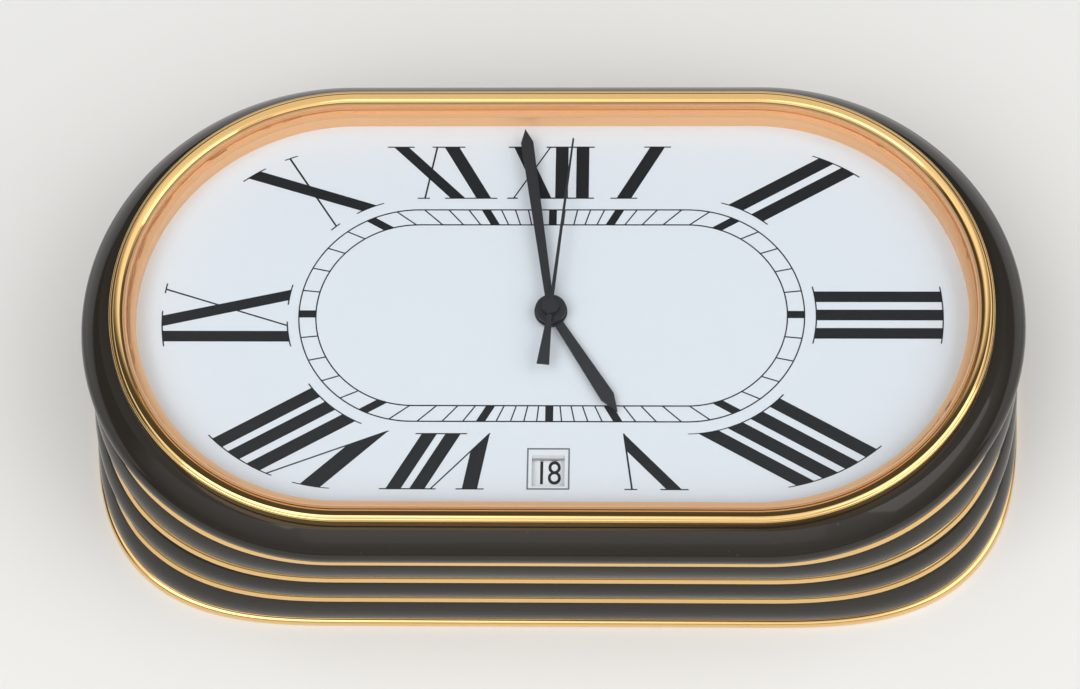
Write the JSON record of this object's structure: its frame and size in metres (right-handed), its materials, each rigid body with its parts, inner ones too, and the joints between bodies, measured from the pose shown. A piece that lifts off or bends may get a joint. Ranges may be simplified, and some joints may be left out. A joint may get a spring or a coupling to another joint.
{
  "type": "desk clock with calendar",
  "caption": "Stadium-shaped quartz desk clock with a ribbed lacquer and gold case, Roman numeral dial, date window, set knob, battery hatch and folding strut.",
  "frame": {"origin": "middle of the resting face under the clock lying on its back", "axes": "+Z out of the dial, +Y towards 12 o'clock, +X towards 3 o'clock"},
  "size_m": [0.1504, 0.0838, 0.0334],
  "materials": {
    "lacquer": "gloss lacquer",
    "gilt": "polished gold plate",
    "rose_gilt": "satin rose gold plate",
    "frame_brass": "plain brass",
    "dial_white": "satin off-white",
    "crystal_glass": "clear mineral glass",
    "hand_slate": "satin dark slate",
    "steel": "plain steel",
    "train_brass": "plain brass",
    "train_plastic": "natural plastic",
    "movement_plastic": "black plastic",
    "spacer_plastic": "grey plastic",
    "date_white": "white, black figures",
    "copper_wire": "enamelled copper wire",
    "board_green": "circuit board",
    "can_metal": "bright metal can",
    "cell_jacket": "plain jacket",
    "contact_metal": "nickel plate",
    "gasket_rubber": "black rubber"
  },
  "bodies": {
    "case": {"base_rim": "gilt", "gold_band_1": "gilt", "gold_band_2": "gilt", "gold_band_3": "gilt", "bezel": "gilt", "lacquer_rib_1": "lacquer", "lacquer_rib_2": "lacquer", "lacquer_rib_3": "lacquer", "lacquer_rib_4": "lacquer", "inner_frame": "frame_brass", "flange_ring": "rose_gilt", "crystal_gasket": "gasket_rubber", "crystal": "crystal_glass", "dial": "dial_white", "movement_spacer": "spacer_plastic", "movement_plate": "movement_plastic", "date_keeper": "movement_plastic", "movement_bridge": "movement_plastic", "movement_pillars": "steel", "movement_cover": "movement_plastic", "movement_screws": "steel", "motor_coil": "copper_wire", "motor_stator": "steel", "rotor_housing": "train_plastic", "circuit_board": "board_green", "quartz_can": "can_metal", "battery": "cell_jacket", "battery_cradle": "movement_plastic", "battery_contacts": "contact_metal", "back_plate": "gilt", "back_screws": "gilt", "strut_pin": "steel"},
    "minute": {"centre_wheel": "train_brass", "minute_hand": "hand_slate"},
    "hour": {"hour_wheel": "train_brass", "hour_hand": "hand_slate"},
    "second": {"second_wheel": "train_plastic", "second_hand": "hand_slate"},
    "third": {"third_wheel": "train_plastic"},
    "motion": {"motion_wheel": "train_brass", "setting_knob": "gilt"},
    "date_wheel": {"date_wheel": "train_plastic"},
    "date_ring": {"date_ring": "date_white"},
    "strut": {"strut": "gilt"},
    "hatch": {"battery_hatch": "gilt", "hatch_gasket": "gasket_rubber"},
    "corrector": {"date_corrector": "gilt"}
  },
  "joints": [
    {"name": "minute_spin", "type": "hinge", "parent": "case", "child": "minute", "pos_m": [0, 0, 0.03], "axis": [0, 0, -1], "continuous": true},
    {"name": "hour_spin", "type": "hinge", "parent": "case", "child": "hour", "pos_m": [0, 0, 0.029], "axis": [0, 0, -1], "continuous": true},
    {"name": "second_spin", "type": "hinge", "parent": "case", "child": "second", "pos_m": [0, 0, 0.031], "axis": [0, 0, -1], "continuous": true},
    {"name": "third_spin", "type": "hinge", "parent": "case", "child": "third", "pos_m": [0, 0.0108, 0.019], "axis": [0, 0, -1], "continuous": true},
    {"name": "motion_spin", "type": "hinge", "parent": "case", "child": "motion", "pos_m": [0.012, 0, 0.024], "axis": [0, 0, -1], "continuous": true},
    {"name": "date_wheel_spin", "type": "hinge", "parent": "case", "child": "date_wheel", "pos_m": [-0.0132, 0, 0.0255], "axis": [0, 0, -1], "continuous": true},
    {"name": "date_ring_spin", "type": "hinge", "parent": "case", "child": "date_ring", "pos_m": [0, 0, 0.0265], "axis": [0, 0, -1], "continuous": true},
    {"name": "strut_hinge", "type": "hinge", "parent": "case", "child": "strut", "pos_m": [0, 0.029, 0.0017], "axis": [1, 0, 0], "range_deg": [0, 30]},
    {"name": "hatch_turn", "type": "hinge", "parent": "case", "child": "hatch", "pos_m": [-0.0425, 0, 0.001], "axis": [0, 0, 1], "range_deg": [0, 40]},
    {"name": "corrector_push", "type": "slide", "parent": "case", "child": "corrector", "axis": [0, 0, 1], "range_m": [0, 0.0015], "stiffness_N_per_m": 200, "springref_m": -0.0015}
  ],
  "couplings": [
    {"joint": "hour_spin", "follows": "minute_spin", "ratio": 0.083333},
    {"joint": "second_spin", "follows": "minute_spin", "ratio": 60},
    {"joint": "third_spin", "follows": "minute_spin", "ratio": -8},
    {"joint": "motion_spin", "follows": "minute_spin", "ratio": -0.33333},
    {"joint": "date_wheel_spin", "follows": "minute_spin", "ratio": -0.041667},
    {"joint": "date_ring_spin", "follows": "minute_spin", "ratio": -0.0013441}
  ]
}
